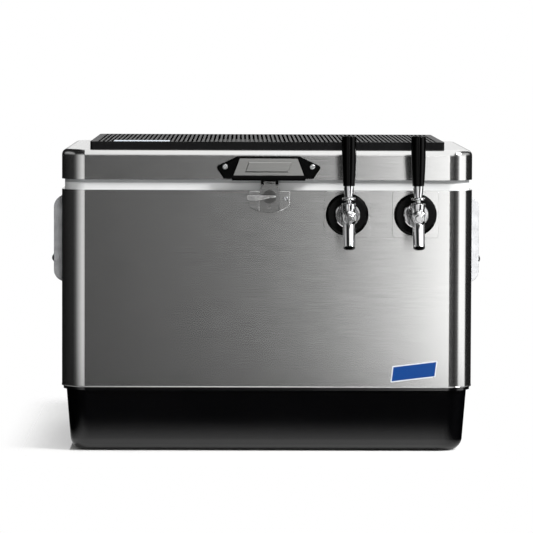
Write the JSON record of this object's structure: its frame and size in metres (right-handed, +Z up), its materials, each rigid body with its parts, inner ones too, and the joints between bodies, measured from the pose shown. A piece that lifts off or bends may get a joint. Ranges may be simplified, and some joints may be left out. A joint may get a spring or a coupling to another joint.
{
  "type": "jockey box beer cooler",
  "caption": "Steel-belted cooler with draught beer taps on its front, cooling coils inside, a hinged lid with latch, a ribbed bar mat and side handles.",
  "frame": {"origin": "centre of the base's underside", "axes": "+X to the right of someone facing the taps, +Y to the back, +Z up; the taps face -Y"},
  "size_m": [0.6632, 0.549, 0.4786],
  "materials": {
    "black_hdpe": "satin moulded",
    "brushed_stainless": "brushed sideways",
    "pu_foam": null,
    "white_hdpe": "satin moulded",
    "grey_hdpe": "satin moulded",
    "label_film": "printed film, blank",
    "chromed_steel": "bright chrome",
    "stainless_fasteners": "bright stainless",
    "stainless_sheet": "polished stainless sheet",
    "black_abs": "semi-gloss moulded",
    "chromed_brass": "brass with bright chrome plating",
    "stainless_tube": "drawn tube",
    "clear_vinyl": "clear hose",
    "black_grip": "semi-gloss moulded",
    "grey_plate": "satin, blank",
    "black_rubber": "matte moulded",
    "black_phenolic": "polished moulded"
  },
  "bodies": {
    "cooler_body": {"base_tub": "black_hdpe", "steel_jacket": "brushed_stainless", "body_foam": "pu_foam", "inner_liner": "white_hdpe", "drain_spout": "white_hdpe", "drain_nut": "white_hdpe", "front_label": "label_film", "side_bracket_left": "chromed_steel", "side_bracket_right": "chromed_steel", "body_screws": "stainless_fasteners", "hinge_body_leaves": "stainless_sheet", "hinge_pins": "stainless_fasteners", "strike_plate": "stainless_sheet", "backing_plates": "stainless_sheet", "wall_flanges": "black_abs", "shanks": "chromed_brass", "coupling_nuts": "chromed_brass", "shank_locknuts": "chromed_brass", "faucet_body_left": "chromed_brass", "faucet_body_right": "chromed_brass", "faucet_bonnet_left": "chromed_brass", "faucet_bonnet_right": "chromed_brass", "coil_left": "stainless_tube", "coil_right": "stainless_tube", "coil_bands": "stainless_sheet", "inlet_shanks": "chromed_brass", "inlet_locknuts": "chromed_brass", "hose_barbs": "stainless_fasteners", "hose_clamps": "stainless_fasteners", "inlet_hose_left": "clear_vinyl", "inlet_hose_right": "clear_vinyl", "outlet_hose_left": "clear_vinyl", "outlet_hose_right": "clear_vinyl"},
    "drain_cap": {"drain_cap": "white_hdpe"},
    "side_handle_left": {"side_bail_left": "chromed_steel", "side_grip_left": "black_grip"},
    "side_handle_right": {"side_bail_right": "chromed_steel", "side_grip_right": "black_grip"},
    "lid": {"lid_skin": "brushed_stainless", "lid_foam": "pu_foam", "lid_liner": "grey_hdpe", "lid_handle": "black_abs", "handle_plate": "grey_plate", "lid_screws": "stainless_fasteners", "hinge_lid_leaves": "stainless_sheet", "hasp_pin": "stainless_fasteners"},
    "mat": {"bar_mat": "black_rubber", "mat_label": "label_film"},
    "hasp": {"hasp": "stainless_sheet"},
    "latch": {"latch_lever": "chromed_steel", "latch_cam": "chromed_steel"},
    "tap_left": {"tap_lever_left": "chromed_brass", "handle_ferrule_left": "chromed_brass", "tap_handle_left": "black_phenolic"},
    "tap_right": {"tap_lever_right": "chromed_brass", "handle_ferrule_right": "chromed_brass", "tap_handle_right": "black_phenolic"},
    "valve_left": {"faucet_shaft_left": "chromed_brass"},
    "valve_right": {"faucet_shaft_right": "chromed_brass"}
  },
  "joints": [
    {"name": "lid_hinge", "type": "hinge", "parent": "cooler_body", "child": "lid", "pos_m": [0, 0.2112, 0.4075], "axis": [-1, 0, 0], "range_deg": [0, 100]},
    {"name": "mat_lift", "type": "slide", "parent": "lid", "child": "mat", "axis": [0, 0, 1], "range_m": [0, 0.12]},
    {"name": "hasp_swing", "type": "hinge", "parent": "lid", "child": "hasp", "pos_m": [0.0034, -0.2134, 0.407], "axis": [-1, 0, 0], "range_deg": [0, 80]},
    {"name": "latch_turn", "type": "hinge", "parent": "hasp", "child": "latch", "pos_m": [0.0034, -0.212, 0.3852], "axis": [0, -1, 0], "range_deg": [0, 90]},
    {"name": "side_handle_left", "type": "hinge", "parent": "cooler_body", "child": "side_handle_left", "pos_m": [-0.318, 0, 0.352], "axis": [0, 1, 0], "range_deg": [0, 90]},
    {"name": "side_handle_right", "type": "hinge", "parent": "cooler_body", "child": "side_handle_right", "pos_m": [0.318, 0, 0.352], "axis": [0, -1, 0], "range_deg": [0, 90]},
    {"name": "tap_pull_left", "type": "hinge", "parent": "cooler_body", "child": "tap_left", "pos_m": [0.1196, -0.282, 0.375], "axis": [1, 0, 0], "range_deg": [0, 30]},
    {"name": "valve_left", "type": "slide", "parent": "cooler_body", "child": "valve_left", "axis": [0, 1, 0], "range_m": [0, 0.0068]},
    {"name": "tap_pull_right", "type": "hinge", "parent": "cooler_body", "child": "tap_right", "pos_m": [0.2218, -0.282, 0.375], "axis": [1, 0, 0], "range_deg": [0, 30]},
    {"name": "valve_right", "type": "slide", "parent": "cooler_body", "child": "valve_right", "axis": [0, 1, 0], "range_m": [0, 0.0068]},
    {"name": "drain_cap_off", "type": "slide", "parent": "cooler_body", "child": "drain_cap", "axis": [0, 1, 0], "range_m": [0, 0.018]}
  ],
  "couplings": [
    {"joint": "valve_left", "follows": "tap_pull_left", "m_per_rad": 0.0129},
    {"joint": "valve_right", "follows": "tap_pull_right", "m_per_rad": 0.0129}
  ]
}
